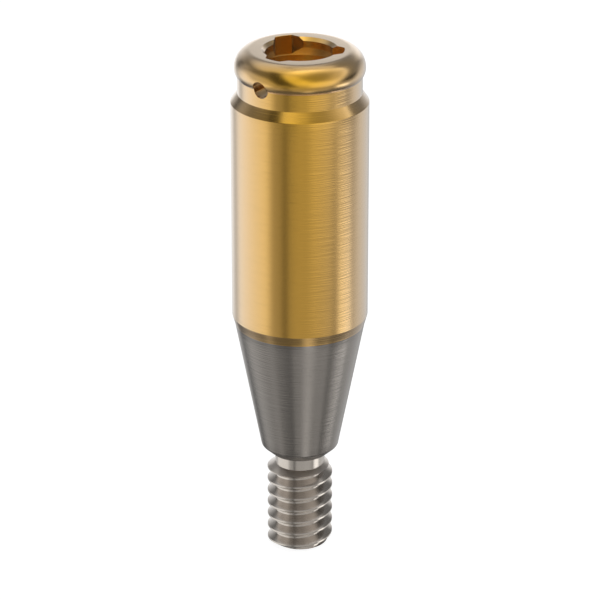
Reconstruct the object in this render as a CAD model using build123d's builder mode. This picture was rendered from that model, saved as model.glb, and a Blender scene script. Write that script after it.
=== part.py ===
from build123d import *
from math import ceil, radians, tan
import os

# Implant abutment with a rounded retention head, turned from one bar.
# All lengths are in millimetres and all angles in degrees. The axis is Z, the screw tip ends at
# Z = 0 and the vent hole faces the front, -Y.

# Screw, M2 with the standard 60 degree form
thread_diameter = 2.00
thread_pitch = 0.40
thread_flank_angle = 30.0
thread_length = 2.72
thread_start_angle = 77.0
tip_chamfer = 0.15

# Relief between the screw and the taper
neck_diameter = 1.52
neck_length = 0.38

# Bare taper that wedges in the implant
taper_half_angle = 11.0
taper_length = 4.05
taper_top_diameter = 3.93
taper_end_chamfer = 0.28

# Coated shaft
rim_height = 0.30
shaft_diameter = 4.10
shaft_length = 6.76
shoulder_height = 0.28

# Collar and the rounded head that the cap is pressed over
collar_diameter = 3.70
collar_height = 0.51
head_diameter = 3.88
head_height = 0.81
head_crown_width = 0.49
head_crown_height = 0.55

# Driver socket: a round mouth with three lobes over a wider cavity
socket_diameter = 2.05
mouth_chamfer = 0.10
lip_depth = 0.30
flare_angle = 45.0
cavity_diameter = 2.76
cavity_depth = 1.05
lobe_count = 3
lobe_reach = 1.31
lobe_flat_distance = 0.87

# Vent hole from the cavity to the front of the collar
vent_diameter = 0.52
vent_floor_gap = 0.02

# Heights of the stations along the axis
neck_bottom = thread_length
neck_top = neck_bottom + neck_length
taper_bottom = neck_top + taper_end_chamfer
taper_top = taper_bottom + taper_length
shaft_bottom = taper_top + rim_height
shaft_top = shaft_bottom + shaft_length
shoulder_top = shaft_top + shoulder_height
collar_top = shoulder_top + collar_height
head_top = collar_top + head_height
crown_bottom = head_top - head_crown_height
cavity_floor = head_top - cavity_depth

# Radii that the stations share
thread_radius = thread_diameter / 2
neck_radius = neck_diameter / 2
taper_top_radius = taper_top_diameter / 2
taper_bottom_radius = taper_top_radius - taper_length * tan(radians(taper_half_angle))
taper_end_radius = taper_bottom_radius - taper_end_chamfer
shaft_radius = shaft_diameter / 2
collar_radius = collar_diameter / 2
head_radius = head_diameter / 2
crown_top_radius = head_radius - head_crown_width
socket_radius = socket_diameter / 2
cavity_radius = cavity_diameter / 2

# Thread form: a flat of an eighth of the pitch on the crest and of a quarter at the root
crest_flat = thread_pitch / 8
root_flat = thread_pitch / 4
flank_run = (thread_pitch - crest_flat - root_flat) / 2
thread_depth = flank_run / tan(radians(thread_flank_angle))
root_radius = thread_radius - thread_depth

# The threaded end is a cylinder with a coned top and a chamfered tip, cut by a helical groove. The
# groove is one turn, repeated from below the tip to above the top, and its section stands out of
# the cylinder by half the way to where its neighbouring turns would meet.
groove_overshoot = crest_flat / 4 / tan(radians(thread_flank_angle))
groove_radius = thread_radius + groove_overshoot
groove_half_width = thread_pitch / 2 - crest_flat / 4
cone_height = (thread_radius - neck_radius) * tan(radians(thread_flank_angle))
groove_turns = ceil(thread_length / thread_pitch) + 2

with BuildPart() as groove_turn:
    with BuildLine():
        Helix(pitch=thread_pitch, height=thread_pitch, radius=root_radius)
    with BuildSketch(Plane.XZ):
        with BuildLine():
            Polyline(
                (root_radius, -root_flat / 2),
                (root_radius, root_flat / 2),
                (groove_radius, groove_half_width),
                (groove_radius, -groove_half_width),
                close=True,
            )
        make_face()
    sweep(is_frenet=True)

with BuildPart() as screw:
    with BuildSketch(Plane.XZ):
        with BuildLine():
            Polyline(
                (0, 0),
                (thread_radius - tip_chamfer, 0),
                (thread_radius, tip_chamfer),
                (thread_radius, neck_bottom - cone_height),
                (neck_radius, neck_bottom),
                (0, neck_bottom),
                close=True,
            )
        make_face()
    revolve(axis=Axis.Z)
    with Locations([(0, 0, (turn - 0.5) * thread_pitch) for turn in range(groove_turns)]):
        add(groove_turn.part, rotation=(0, 0, thread_start_angle), mode=Mode.SUBTRACT)

with BuildPart() as abutment:
    # Outside, from the neck up to the flat ring on top of the head
    with BuildSketch(Plane.XZ):
        with BuildLine():
            Polyline(
                (0, neck_bottom),
                (neck_radius, neck_bottom),
                (neck_radius, neck_top),
                (taper_end_radius, neck_top),
                (taper_bottom_radius, taper_bottom),
                (taper_top_radius, taper_top),
                (shaft_radius, shaft_bottom),
                (shaft_radius, shaft_top),
                (collar_radius, shoulder_top),
                (collar_radius, collar_top),
            )
            # Underside of the head: a round that leaves the collar and ends upright
            TangentArc(
                (head_radius, crown_bottom),
                (collar_radius, collar_top),
                tangent=(0, -1),
                tangent_from_first=True,
            )
            # Crown of the head: a quarter of an ellipse up to the flat ring
            EllipticalCenterArc(
                (crown_top_radius, crown_bottom),
                x_radius=head_crown_width,
                y_radius=head_crown_height,
                start_angle=0,
                arc_size=90,
            )
            Polyline((crown_top_radius, head_top), (0, head_top), (0, neck_bottom))
        make_face()
    revolve(axis=Axis.Z)
    add(screw.part)

    # Socket: chamfered mouth, upright lip, flare and the wider cavity below it
    flare_bottom = head_top - lip_depth - (cavity_radius - socket_radius) / tan(radians(flare_angle))
    with BuildSketch(Plane.XZ):
        with BuildLine():
            Polyline(
                (0, head_top),
                (socket_radius + mouth_chamfer, head_top),
                (socket_radius, head_top - mouth_chamfer),
                (socket_radius, head_top - lip_depth),
                (cavity_radius, flare_bottom),
                (cavity_radius, cavity_floor),
                (0, cavity_floor),
                close=True,
            )
        make_face()
    revolve(axis=Axis.Z, mode=Mode.SUBTRACT)

    # Lobes: the corners of a triangle, rounded off by a circle, run down through lip and flare
    with BuildSketch(Plane.XY.offset(head_top)):
        RegularPolygon(lobe_flat_distance, lobe_count, major_radius=False, rotation=-90)
        Circle(lobe_reach, mode=Mode.INTERSECT)
    extrude(amount=-cavity_depth, mode=Mode.SUBTRACT)

    # Vent: from the axis out through the front wall, just above the cavity floor
    vent_height = cavity_floor + vent_floor_gap + vent_diameter / 2
    with BuildSketch(Plane.XZ):
        with Locations((0, vent_height)):
            Circle(vent_diameter / 2)
    extrude(amount=shaft_radius, mode=Mode.SUBTRACT)

abutment.part.label = "abutment"

os.makedirs("parts", exist_ok=True)
export_step(abutment.part, "parts/abutment.step")
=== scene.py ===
from collections import namedtuple
from math import acos, atan2, ceil, cos, degrees, hypot, pi, radians, sin, tan

import bmesh
import bpy
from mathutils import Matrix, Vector

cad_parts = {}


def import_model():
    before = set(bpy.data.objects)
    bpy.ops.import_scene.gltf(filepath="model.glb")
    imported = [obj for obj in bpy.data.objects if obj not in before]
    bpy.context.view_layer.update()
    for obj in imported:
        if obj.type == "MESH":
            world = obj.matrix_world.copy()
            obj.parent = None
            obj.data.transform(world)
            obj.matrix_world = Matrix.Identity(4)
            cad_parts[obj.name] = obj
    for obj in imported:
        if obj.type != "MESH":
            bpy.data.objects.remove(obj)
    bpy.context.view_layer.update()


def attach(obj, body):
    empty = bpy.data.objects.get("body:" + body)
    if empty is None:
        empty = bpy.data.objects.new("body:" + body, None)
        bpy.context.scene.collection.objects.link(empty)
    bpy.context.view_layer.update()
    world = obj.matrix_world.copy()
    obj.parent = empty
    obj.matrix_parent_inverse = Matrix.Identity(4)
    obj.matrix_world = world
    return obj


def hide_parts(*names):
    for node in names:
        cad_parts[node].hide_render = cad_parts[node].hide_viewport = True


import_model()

# An implant abutment with a gold-coloured coat. Lengths are in metres, with MM for millimetres, and
# angles in degrees. The axis is Z and the screw tip ends at Z = 0.
MM = 0.001

# Screw. Its flank angles are counted from a plane across the axis, and the upper flank's also gives
# the slope of the coned top.
thread_radius = 1.00 * MM
thread_pitch = 0.40 * MM
thread_crest_width = 0.05 * MM
thread_root_radius = 0.77 * MM
thread_flank_angle = 30.0
thread_lower_flank_angle = 35.5
thread_start_angle = 77.0
tip_radius = 0.73 * MM
tip_chamfer_height = 0.13 * MM
neck_bottom = 2.73 * MM
neck_radius = 0.76 * MM
cone_height = (thread_radius - neck_radius) * tan(radians(thread_flank_angle))

# Lengths along the axis, from the neck up
neck_length = 0.38 * MM
taper_end_height = 0.27 * MM
taper_length = 4.05 * MM
rim_height = 0.30 * MM
shaft_length = 6.76 * MM
shoulder_height = 0.28 * MM
collar_height = 0.51 * MM
head_height = 0.81 * MM

# Stations of the outside
neck_top = neck_bottom + neck_length
taper_bottom = neck_top + taper_end_height
taper_top = taper_bottom + taper_length
shaft_bottom = taper_top + rim_height
shaft_top = shaft_bottom + shaft_length
shoulder_top = shaft_top + shoulder_height
collar_top = shoulder_top + collar_height
head_top = collar_top + head_height

# Radii of the outside
taper_half_angle = 11.0
taper_top_radius = 1.965 * MM
taper_bottom_radius = taper_top_radius - (taper_top - taper_bottom) * tan(radians(taper_half_angle))
taper_end_chamfer = 0.30 * MM
shaft_radius = 2.05 * MM
collar_radius = 1.85 * MM
head_radius = 1.94 * MM
crown_width = 0.49 * MM
crown_height = 0.55 * MM
crown_bottom = head_top - crown_height

# Driver socket
socket_radius = 1.025 * MM
mouth_chamfer = 0.10 * MM
lip_depth = 0.30 * MM
cavity_radius = 1.38 * MM
cavity_depth = 1.05 * MM
cavity_floor = head_top - cavity_depth
flare_angle = 45.0
lobe_count = 3
lobe_reach = 1.31 * MM
lobe_flat_distance = 0.87 * MM
lobe_axis_angle = 270.0

# Vent hole
vent_radius = 0.26 * MM
vent_floor_gap = 0.02 * MM
vent_height = cavity_floor + vent_floor_gap + vent_radius

# Small breaks on the turned edges
edge_break = 0.025 * MM
taper_foot_round = 4 * edge_break
lobe_edge_break = 0.010 * MM

# Fineness of the mesh
steps_around = 360
longest_step = 0.30 * MM
round_steps = 6
crown_steps = 28
underside_steps = 12
vent_steps = 64

# How far the screw's blank stands out of the thread, how close to the neck's foot a point counts as
# lying on it, how close two points are made one, and the angle from which an edge is shaded sharp
blank_margin = 0.02 * MM
on_neck_foot = 1e-7
weld_distance = 2e-8
sharp_angle = 25.0


def polar(radius, angle, height):
    return Vector((radius * cos(radians(angle)), radius * sin(radians(angle)), height))


def lobe_radius(angle):
    """Distance from the axis to the lobed wall of the socket, before the round mouth is cut."""
    spacing = 360 / lobe_count
    from_lobe = abs((angle - lobe_axis_angle + spacing / 2) % spacing - spacing / 2)
    return min(lobe_reach, lobe_flat_distance / cos(radians(spacing / 2 - from_lobe)))


def lobe_corners():
    """Angles from a lobe's axis at which its sides meet the reach circle, the chamfer and the mouth."""
    radii = (lobe_reach, socket_radius + mouth_chamfer, socket_radius)
    return [180 / lobe_count - degrees(acos(lobe_flat_distance / radius)) for radius in radii]


def angles_around():
    """Even steps round the axis, with the nearest ones moved onto the corners of the lobes."""
    step = 360 / steps_around
    angles = [step * index for index in range(steps_around)]
    for lobe in range(lobe_count):
        axis_angle = lobe_axis_angle + lobe * 360 / lobe_count
        for corner in lobe_corners():
            for angle in (axis_angle - corner, axis_angle + corner):
                angles[round(angle % 360 / step) % steps_around] = angle % 360
    return angles


def rounded(corners):
    """The line through (radius, height, rounding) corners, each rounded by an arc."""
    line = [corners[0][:2]]
    for before, corner, after in zip(corners, corners[1:], corners[2:]):
        point = Vector(corner[:2])
        to_before = (Vector(before[:2]) - point).normalized()
        to_after = (Vector(after[:2]) - point).normalized()
        if corner[2] == 0:
            line.append(corner[:2])
            continue
        half = to_before.angle(to_after) / 2
        middle = (to_before + to_after).normalized()
        centre = point + middle * (corner[2] / sin(half))
        start = point + to_before * (corner[2] / tan(half)) - centre
        end = point + to_after * (corner[2] / tan(half)) - centre
        turn = start.angle_signed(end)
        for index in range(round_steps + 1):
            share = index / round_steps
            arm = (start * sin((1 - share) * abs(turn)) + end * sin(share * abs(turn))) / sin(abs(turn))
            line.append(tuple(centre + arm))
    line.append(corners[-1][:2])
    return line


def divided(line):
    """The same line with its long straight stretches divided."""
    points = [line[0]]
    for start, end in zip(line, line[1:]):
        across, along = end[0] - start[0], end[1] - start[1]
        parts = max(1, ceil(hypot(across, along) / longest_step))
        for index in range(1, parts + 1):
            share = index / parts
            points.append((start[0] + across * share, start[1] + along * share))
    return points


def outside_line():
    """Half section of the outside, from the bottom of the neck to the flat ring on the head."""
    line = rounded([
        (neck_radius, neck_bottom, 0),
        (neck_radius, neck_top, 0),
        (taper_bottom_radius - taper_end_chamfer, neck_top, edge_break),
        (taper_bottom_radius, taper_bottom, taper_foot_round),
        (taper_top_radius, taper_top, 0),
        (shaft_radius, shaft_bottom, edge_break),
        (shaft_radius, shaft_top, edge_break),
        (collar_radius, shoulder_top, 0),
        (collar_radius, collar_top, 0),
    ])
    # Underside of the head, an arc that leaves the collar and ends upright
    overhang = head_radius - collar_radius
    rise = crown_bottom - collar_top
    underside_radius = (overhang**2 + rise**2) / (2 * overhang)
    sweep = atan2(rise, underside_radius - overhang)
    for index in range(1, underside_steps + 1):
        angle = sweep * (index / underside_steps - 1)
        radius = head_radius - underside_radius * (1 - cos(angle))
        line.append((radius, crown_bottom + underside_radius * sin(angle)))
    # Crown, a quarter of an ellipse
    for index in range(1, crown_steps + 1):
        angle = pi / 2 * index / crown_steps
        radius = head_radius - crown_width * (1 - cos(angle))
        line.append((radius, crown_bottom + crown_height * sin(angle)))
    return divided(line)


def socket_line(angle):
    """Half section of the socket in one direction, from the flat ring down to the cavity floor."""
    wall = max(socket_radius, lobe_radius(angle))
    mouth = max(socket_radius + mouth_chamfer, wall + lobe_edge_break)
    lip_bottom = head_top - lip_depth - (wall - socket_radius) / tan(radians(flare_angle))
    flare_bottom = head_top - lip_depth - (cavity_radius - socket_radius) / tan(radians(flare_angle))
    return [
        (mouth, head_top),
        (wall, head_top - (mouth - wall)),
        (wall, lip_bottom),
        (cavity_radius, flare_bottom),
        (cavity_radius, cavity_floor),
        (cavity_radius / 2, cavity_floor),
    ]


def turned(name, line_at, angles, axis_points):
    """A closed mesh from half sections: line_at gives the section at an angle, and axis_points the
    heights on the axis that close it at its start and at its end."""
    mesh = bmesh.new()
    rings = [[mesh.verts.new(polar(r, angle, z)) for r, z in line_at(angle)] for angle in angles]
    for here, after in zip(rings, rings[1:] + rings[:1]):
        for index in range(len(here) - 1):
            mesh.faces.new((here[index], after[index], after[index + 1], here[index + 1]))
    first, last = (mesh.verts.new((0, 0, height)) for height in axis_points)
    for here, after in zip(rings, rings[1:] + rings[:1]):
        mesh.faces.new((here[0], first, after[0]))
        mesh.faces.new((here[-1], after[-1], last))
    return finished(mesh, name)


def finished(mesh, name):
    """An object of the mesh, with its faces turned outwards."""
    bmesh.ops.recalc_face_normals(mesh, faces=mesh.faces)
    data = bpy.data.meshes.new(name)
    mesh.to_mesh(data)
    mesh.free()
    piece = bpy.data.objects.new(name, data)
    bpy.context.scene.collection.objects.link(piece)
    return piece


def cut(piece, tool, operation):
    """Applies a boolean of the tool to the piece and deletes the tool."""
    modifier = piece.modifiers.new(operation.lower(), "BOOLEAN")
    modifier.operation = operation
    modifier.solver = "EXACT"
    modifier.object = tool
    apply_modifiers(piece)
    bpy.data.objects.remove(tool)


def apply_modifiers(piece):
    graph = bpy.context.evaluated_depsgraph_get()
    made = bpy.data.meshes.new_from_object(piece.evaluated_get(graph))
    piece.modifiers.clear()
    piece.data = made


def upper_part(angles):
    """Everything above the screw, with the socket and the vent hole cut."""
    outside = outside_line()
    piece = turned("abutment_body", lambda angle: outside + socket_line(angle), angles,
                   (neck_bottom, cavity_floor))
    # The drill reaches from inside the cavity to outside the head
    drill = bmesh.new()
    ends = [
        [drill.verts.new((vent_radius * sin(turn), y, vent_height + vent_radius * cos(turn)))
         for turn in (2 * pi * index / vent_steps for index in range(vent_steps))]
        for y in (-cavity_radius / 2, -head_radius - edge_break)
    ]
    for index in range(vent_steps):
        after = (index + 1) % vent_steps
        drill.faces.new((ends[0][index], ends[0][after], ends[1][after], ends[1][index]))
    for end in ends:
        drill.faces.new(end)
    cut(piece, finished(drill, "drill"), "DIFFERENCE")
    return piece


def helical_bar(angles):
    """A bar with the full thread form all along, longer than the screw at both ends."""
    half_crest = thread_crest_width / 2
    depth = thread_radius - thread_root_radius
    upper_end = half_crest + depth * tan(radians(thread_flank_angle))
    lower_end = half_crest + depth * tan(radians(thread_lower_flank_angle))
    form = [
        (thread_radius, -half_crest),
        (thread_radius, half_crest),
        (thread_root_radius, upper_end),
        (thread_root_radius, thread_pitch - lower_end),
    ]
    turns_below, turns_above = 2, 1
    turns = turns_below + ceil(neck_bottom / thread_pitch) + turns_above
    mesh = bmesh.new()
    columns = []
    for angle in angles + [angles[0] + 360]:
        rise = thread_pitch * ((angle - thread_start_angle) / 360 - turns_below)
        columns.append([
            polar(radius, angle, rise + offset + turn * thread_pitch)
            for turn in range(turns) for radius, offset in form
        ])
    rows = [[mesh.verts.new(point) for point in column] for column in columns[:-1]]
    # The last column is the first one, a turn higher, with one more turn's points at its top
    closing = rows[0][len(form):] + [mesh.verts.new(point) for point in columns[-1][-len(form):]]
    for here, after in zip(rows, rows[1:] + [closing]):
        for index in range(len(here) - 1):
            mesh.faces.new((here[index], after[index], after[index + 1], here[index + 1]))
    lower = mesh.verts.new((0, 0, columns[0][0].z))
    upper = mesh.verts.new((0, 0, columns[-1][-1].z))
    low_edge = [row[0] for row in rows] + [closing[0]] + rows[0][len(form) - 1:0:-1]
    high_edge = [row[-1] for row in rows] + closing[:-len(form) - 2:-1]
    for edge, centre in ((low_edge, lower), (high_edge, upper)):
        for here, after in zip(edge, edge[1:] + edge[:1]):
            if here != after:
                mesh.faces.new((here, after, centre))
    return finished(mesh, "screw")


def screw_part(angles):
    """The screw: the threaded bar within a blank that has the chamfered tip and the coned top."""
    outer = thread_radius + blank_margin
    cone_slope = tan(radians(thread_flank_angle))
    tip_slope = tip_chamfer_height / (thread_radius - tip_radius)
    blank = [
        (tip_radius, 0),
        (outer, (outer - tip_radius) * tip_slope),
        (outer, neck_bottom - (outer - neck_radius) * cone_slope),
        (neck_radius, neck_bottom),
    ]
    piece = turned("screw_blank", lambda angle: blank, angles, (0, neck_bottom))
    cut(piece, helical_bar(angles), "INTERSECT")
    return piece


def on_meeting_disc(face):
    """Whether the face lies in the disc at the neck's foot, where the screw meets the upper part."""
    return all(
        abs(vert.co.z - neck_bottom) < on_neck_foot
        and hypot(vert.co.x, vert.co.y) < neck_radius + on_neck_foot
        for vert in face.verts
    )


def joined(upper, screw):
    """One closed skin of the two, with the discs where they meet taken away."""
    mesh = bmesh.new()
    for piece in (upper, screw):
        own = bmesh.new()
        own.from_mesh(piece.data)
        inner = [face for face in own.faces if on_meeting_disc(face)]
        bmesh.ops.delete(own, geom=inner, context="FACES")
        loose = [vert for vert in own.verts if not vert.link_faces]
        bmesh.ops.delete(own, geom=loose, context="VERTS")
        own.to_mesh(piece.data)
        own.free()
        mesh.from_mesh(piece.data)
        bpy.data.objects.remove(piece)
    bmesh.ops.remove_doubles(mesh, verts=mesh.verts, dist=weld_distance)
    return finished(mesh, "abutment_turned")


def build_abutment():
    angles = angles_around()
    return joined(upper_part(angles), screw_part(angles))


# The photograph's view: a long lens. The camera's angle round the axis is counted from +X, and its
# elevation from the horizon.
camera_angle = 307.9
camera_elevation = 23.14
camera_distance = 94.63 * MM
camera_aim_height = 8.103 * MM
camera_sensor_mm = 36
camera_lens_mm = 187.86
camera_shift = 0.00025
camera_clip_start = 5 * MM


def direction(azimuth, elevation):
    """A direction given from the axis: azimuth is counted from the camera, to its right."""
    turn = radians(camera_angle + azimuth)
    lift = radians(elevation)
    return Vector((cos(turn) * cos(lift), sin(turn) * cos(lift), sin(lift)))


def camera():
    back = direction(0, camera_elevation)
    data = bpy.data.cameras.new("camera")
    data.sensor_width = camera_sensor_mm
    data.lens = camera_lens_mm
    data.shift_x = camera_shift
    data.clip_start = camera_clip_start
    made = bpy.data.objects.new("camera", data)
    made.location = Vector((0, 0, camera_aim_height)) + back * camera_distance
    made.rotation_euler = (-back).to_track_quat("-Z", "Y").to_euler()
    bpy.context.scene.collection.objects.link(made)
    bpy.context.scene.camera = made


# Panels of light round the object, each painted over those before it. Angles are in degrees: azimuth
# and elevation of the middle, half width, half height, drift of the azimuth for each degree of
# elevation, and softness of the edge. The last value is the brightness.
Panel = namedtuple("Panel", "azimuth elevation half_width half_height lean softness brightness")
surroundings = 0.11
backdrop = Panel(-179, -3, 20, 20.5, -0.82, 9, 0.98)
panels = [
    Panel(16, 65, 177, 26, 1.22, 8, 0.60),
    Panel(33, 81, 69, 20, 0.26, 15, 1.33),
    Panel(-103, -8, 45, 28, -0.96, 12, 0.88),
    Panel(-135, 8, 14, 20, 0.15, 12, 0.08),
    backdrop,
    Panel(120, -15, 51, 20, 0.23, 13, 0.60),
    Panel(-63, 29, 38, 23, 1.25, 10, 0.15),
    Panel(-10, 14, 31, 42, -0.75, 9, 0.80),
    Panel(33, 18, 29, 47, 0.22, 16, 0.30),
    Panel(50, -4, 38, 14, -0.27, 7, 0.92),
    Panel(88, 29, 15, 23, 0.74, 7, 1.01),
    Panel(132, 34, 28, 22, 0.24, 2, 0.17),
    Panel(-38, 20, 16, 36, -0.61, 5, 0.06),
    Panel(94, -6, 22, 13, 0.81, 10, 0.02),
    Panel(85, -30, 14, 6, -0.51, 4, 1.50),
    Panel(21, -36, 39, 14, -0.29, 2, 0.37),
    Panel(20, -52, 11, 6, 0.26, 7, 0.77),
    Panel(-49, -32, 9, 22, 1.05, 7, 0.35),
    Panel(6, 9, 9, 13, 0.06, 9, 0.94),
    Panel(-74, 1, 26, 14, -0.80, 6, 0.52),
    Panel(71, 24, 16, 17, 0.68, 8, 0.52),
]


def panel_mask(tree, azimuth, elevation, panel):
    """Socket that is 1 where the ray meets the panel and 0 away from it."""
    side = math_node(tree, "SUBTRACT", azimuth, panel.azimuth - panel.lean * panel.elevation)
    side = math_node(tree, "MULTIPLY_ADD", elevation, -panel.lean, side)
    rise = math_node(tree, "SUBTRACT", elevation, panel.elevation)
    spans = (
        (math_node(tree, "PINGPONG", side, 180), panel.half_width),
        (math_node(tree, "ABSOLUTE", rise), panel.half_height),
    )
    steepness = 1 / (2 * panel.softness)
    masks = [math_node(tree, "MULTIPLY_ADD", off, -steepness, half * steepness + 0.5, clamped=True)
             for off, half in spans]
    return math_node(tree, "MULTIPLY", *masks)


def feed(tree, socket, value):
    """Sets a number on a socket, or links another node's output to it."""
    if isinstance(value, (int, float)):
        socket.default_value = value
    else:
        tree.links.new(value, socket)


def math_node(tree, operation, *values, clamped=False):
    node = tree.nodes.new("ShaderNodeMath")
    node.operation = operation
    node.use_clamp = clamped
    for socket, value in zip(node.inputs, values):
        feed(tree, socket, value)
    return node.outputs[0]


def painted(tree, light, mask, brightness):
    """The light with a panel of this brightness laid over it where the mask is 1."""
    node = tree.nodes.new("ShaderNodeMix")
    node.data_type = "FLOAT"
    feed(tree, node.inputs["Factor"], mask)
    feed(tree, node.inputs["A"], light)
    feed(tree, node.inputs["B"], brightness)
    return node.outputs["Result"]


def blended(tree, share, first, second):
    """The first shader with this share of the second."""
    node = tree.nodes.new("ShaderNodeMixShader")
    tree.links.new(share, node.inputs["Fac"])
    tree.links.new(first.outputs[0], node.inputs[1])
    tree.links.new(second.outputs[0], node.inputs[2])
    return node.outputs[0]


def dot(tree, vector, axis):
    node = tree.nodes.new("ShaderNodeVectorMath")
    node.operation = "DOT_PRODUCT"
    tree.links.new(vector, node.inputs[0])
    node.inputs[1].default_value = axis
    return node.outputs["Value"]


def world():
    """White where the camera looks past the object, and soft panels of light for its reflections."""
    made = bpy.data.worlds.new("studio")
    bpy.context.scene.world = made
    made.use_nodes = True
    tree = made.node_tree
    ray = tree.nodes.new("ShaderNodeTexCoord").outputs["Generated"]
    ahead, right, up = (dot(tree, ray, axis)
                        for axis in (direction(0, 0), direction(90, 0), direction(0, 90)))
    azimuth = math_node(tree, "DEGREES", math_node(tree, "ARCTAN2", right, ahead))
    elevation = math_node(tree, "DEGREES", math_node(tree, "ARCSINE", up))
    light = surroundings
    masks = {}
    for panel in panels:
        masks[panel] = panel_mask(tree, azimuth, elevation, panel)
        light = painted(tree, light, masks[panel], panel.brightness)
    studio = tree.nodes["Background"]
    studio.inputs["Color"].default_value = (1, 1, 1, 1)
    tree.links.new(light, studio.inputs["Strength"])
    white = tree.nodes.new("ShaderNodeBackground")
    white.inputs["Color"].default_value = (1, 1, 1, 1)
    path = tree.nodes.new("ShaderNodeLightPath")
    mirrored = math_node(tree, "ADD", path.outputs["Is Glossy Ray"], path.outputs["Is Transmission Ray"])
    white_share = math_node(tree, "MULTIPLY_ADD", mirrored, masks[backdrop],
                            path.outputs["Is Camera Ray"], clamped=True)
    shown = blended(tree, white_share, studio, white)
    tree.links.new(shown, tree.nodes["World Output"].inputs["Surface"])


# Each metal has its own colour head on and turns white at a glance: the power says how late, and the
# share how far.
Metal = namedtuple("Metal", "colour glance_power glance_share")
coat = Metal((0.955, 0.520, 0.045), 1.07, 0.92)
titanium = Metal((0.539, 0.491, 0.441), 1.90, 0.51)

# Marks that the cutting tool leaves: fine rings, long round the axis and thin along it
mark_length = 1.20 * MM
mark_height = 0.032 * MM
mark_depth = 0.0031 * MM
mark_detail = 2

Finish = namedtuple("Finish", "metal roughness is_marked")
finishes = {
    "polished_coat": Finish(coat, 0.22, False),
    "turned_coat": Finish(coat, 0.20, True),
    # A darker, deeper coat inside the socket: painted shade in the recess
    "shade_painted_socket_coat": Finish(coat._replace(colour=(0.80, 0.455, 0.045)), 0.25, False),
    "turned_titanium": Finish(titanium, 0.23, True),
    "thread_titanium": Finish(titanium._replace(colour=(0.62, 0.565, 0.51)), 0.20, False),
    # A lighter titanium for the upright faces of the neck and screw: a painted highlight
    "highlight_painted_titanium": Finish(titanium._replace(colour=(0.79, 0.72, 0.64)), 0.20, False),
    # A darker titanium, rough, for the chamfer under the taper's foot: painted shade where the taper
    # hides the light
    "shade_painted_titanium": Finish(Metal((0.36, 0.335, 0.31), 1.90, 0.2), 0.50, False),
    # A lighter titanium for the screw's coned top: painted light in place of the shade under the taper
    "light_painted_cone_titanium": Finish(titanium._replace(colour=(0.72, 0.655, 0.59)), 0.30, False),
}

# A face of the neck or the screw counts as upright, and takes the painted highlight, while its normal's
# Z is below this
upright_lean = 0.3


def material(name, finish):
    made = bpy.data.materials.new(name)
    made.use_nodes = True
    tree = made.node_tree
    own = tree.nodes["Principled BSDF"]
    glancing = tree.nodes.new("ShaderNodeBsdfPrincipled")
    for shader, colour in ((own, finish.metal.colour), (glancing, (1, 1, 1))):
        shader.inputs["Base Color"].default_value = (*colour, 1)
        shader.inputs["Metallic"].default_value = 1
        shader.inputs["Roughness"].default_value = finish.roughness
    if finish.is_marked:
        bump = turning_marks(tree)
        for shader in (own, glancing):
            tree.links.new(bump, shader.inputs["Normal"])
    facing = tree.nodes.new("ShaderNodeLayerWeight")
    facing.inputs["Blend"].default_value = 0.5
    share = math_node(tree, "POWER", facing.outputs["Facing"], finish.metal.glance_power)
    share = math_node(tree, "MULTIPLY", share, finish.metal.glance_share)
    shown = blended(tree, share, own, glancing)
    tree.links.new(shown, tree.nodes["Material Output"].inputs["Surface"])
    return made


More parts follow.
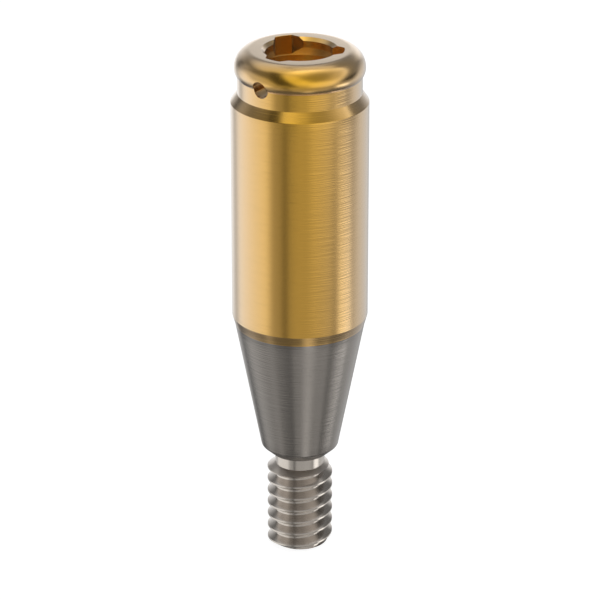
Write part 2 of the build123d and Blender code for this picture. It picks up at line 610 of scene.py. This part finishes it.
def turning_marks(tree):
    """Normal socket with the marks of the cutting tool."""
    place = tree.nodes.new("ShaderNodeTexCoord").outputs["Object"]
    stretch = tree.nodes.new("ShaderNodeMapping")
    stretch.inputs["Scale"].default_value = (1 / mark_length, 1 / mark_length, 1 / mark_height)
    tree.links.new(place, stretch.inputs["Vector"])
    noise = tree.nodes.new("ShaderNodeTexNoise")
    noise.inputs["Scale"].default_value = 1
    noise.inputs["Detail"].default_value = mark_detail
    tree.links.new(stretch.outputs[0], noise.inputs["Vector"])
    bump = tree.nodes.new("ShaderNodeBump")
    bump.inputs["Strength"].default_value = 1
    bump.inputs["Distance"].default_value = mark_depth
    tree.links.new(noise.outputs["Fac"], bump.inputs["Height"])
    return bump.outputs["Normal"]


def finish_of(point, normal):
    """Name of the finish of a face. The coat ends at the top of the bare taper."""
    if point.z < neck_top - edge_break:
        # Upright faces of the neck and screw take a painted highlight
        if abs(normal.z) < upright_lean:
            return "highlight_painted_titanium"
        # The coned top takes painted light in place of the taper's shade
        return "light_painted_cone_titanium" if point.z > neck_bottom - cone_height else "thread_titanium"
    # The chamfer under the taper's foot takes painted shade
    if point.z < taper_bottom - edge_break:
        return "shade_painted_titanium"
    if point.z < taper_top:
        return "turned_titanium"
    # The socket's walls and floor take the coat with painted shade
    if point.z < head_top - mouth_chamfer and hypot(point.x, point.y) < cavity_radius + edge_break:
        return "shade_painted_socket_coat"
    if point.z < collar_top or point.z > head_top - edge_break:
        return "turned_coat"
    return "polished_coat"


def dress(piece):
    """Gives each face its finish."""
    for name, finish in finishes.items():
        piece.data.materials.append(material(name, finish))
    names = list(finishes)
    for face in piece.data.polygons:
        face.use_smooth = True
        face.material_index = names.index(finish_of(face.center, face.normal))
    piece.data.set_sharp_from_angle(angle=radians(sharp_angle))


floor_radius = 300 * MM
floor_steps = 96
floor_colour = (0.35, 0.35, 0.35, 1)
floor_glow = 0.9


def floor():
    """A plain white floor: it takes a faint shadow, and the object mirrors the panels and not it."""
    mesh = bmesh.new()
    bmesh.ops.create_circle(mesh, cap_ends=True, segments=floor_steps, radius=floor_radius)
    piece = finished(mesh, "floor")
    piece.visible_glossy = False
    made = bpy.data.materials.new("floor_white")
    made.use_nodes = True
    tree = made.node_tree
    shader = tree.nodes["Principled BSDF"]
    shader.inputs["Base Color"].default_value = floor_colour
    shader.inputs["Roughness"].default_value = 1
    shader.inputs["Specular IOR Level"].default_value = 0
    shader.inputs["Emission Color"].default_value = (1, 1, 1, 1)
    shader.inputs["Emission Strength"].default_value = floor_glow
    piece.data.materials.append(made)


bpy.context.scene.view_settings.view_transform = "Standard"
abutment = build_abutment()
dress(abutment)
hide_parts("abutment")
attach(abutment, "root")
floor()
world()
camera()
